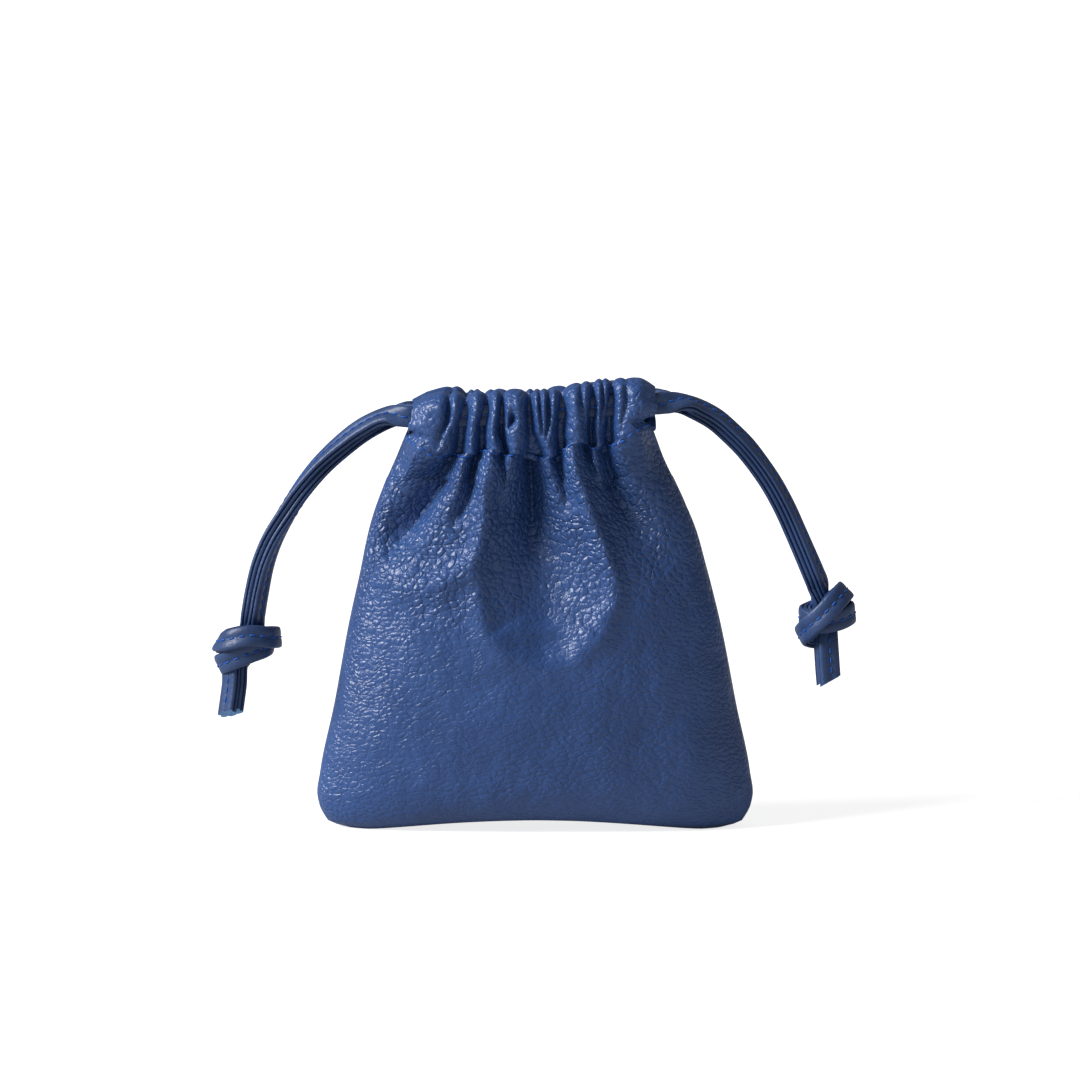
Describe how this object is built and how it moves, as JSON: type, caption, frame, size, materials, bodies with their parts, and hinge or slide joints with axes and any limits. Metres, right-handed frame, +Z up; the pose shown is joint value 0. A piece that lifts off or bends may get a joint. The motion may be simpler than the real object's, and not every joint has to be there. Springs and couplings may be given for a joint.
{
  "type": "drawstring pouch",
  "caption": "Small soft leather drawstring pouch, gathered at its neck and standing on its bottom seam, with a knotted strap cord at each side.",
  "frame": {"origin": "on the floor, under the middle of the body without its cords", "axes": "+Z up, the front panel faces -Y, +X to the right seen from the front"},
  "size_m": [0.1894, 0.04, 0.1327],
  "materials": {
    "body_leather": "pebbled soft grain, semi-matt",
    "strap_leather": "smoother grain, semi-matt",
    "thread": "polyester sewing thread"
  },
  "bodies": {
    "root": {"front_panel": "body_leather", "back_panel": "body_leather", "front_channel_thread": "thread", "back_channel_thread": "thread", "left_drawcord": "strap_leather", "right_drawcord": "strap_leather", "left_front_end": "strap_leather", "left_back_end": "strap_leather", "right_front_end": "strap_leather", "right_back_end": "strap_leather", "left_knot": "strap_leather", "right_knot": "strap_leather", "left_front_tail": "strap_leather", "left_back_tail": "strap_leather", "right_front_tail": "strap_leather", "right_back_tail": "strap_leather"}
  },
  "joints": []
}
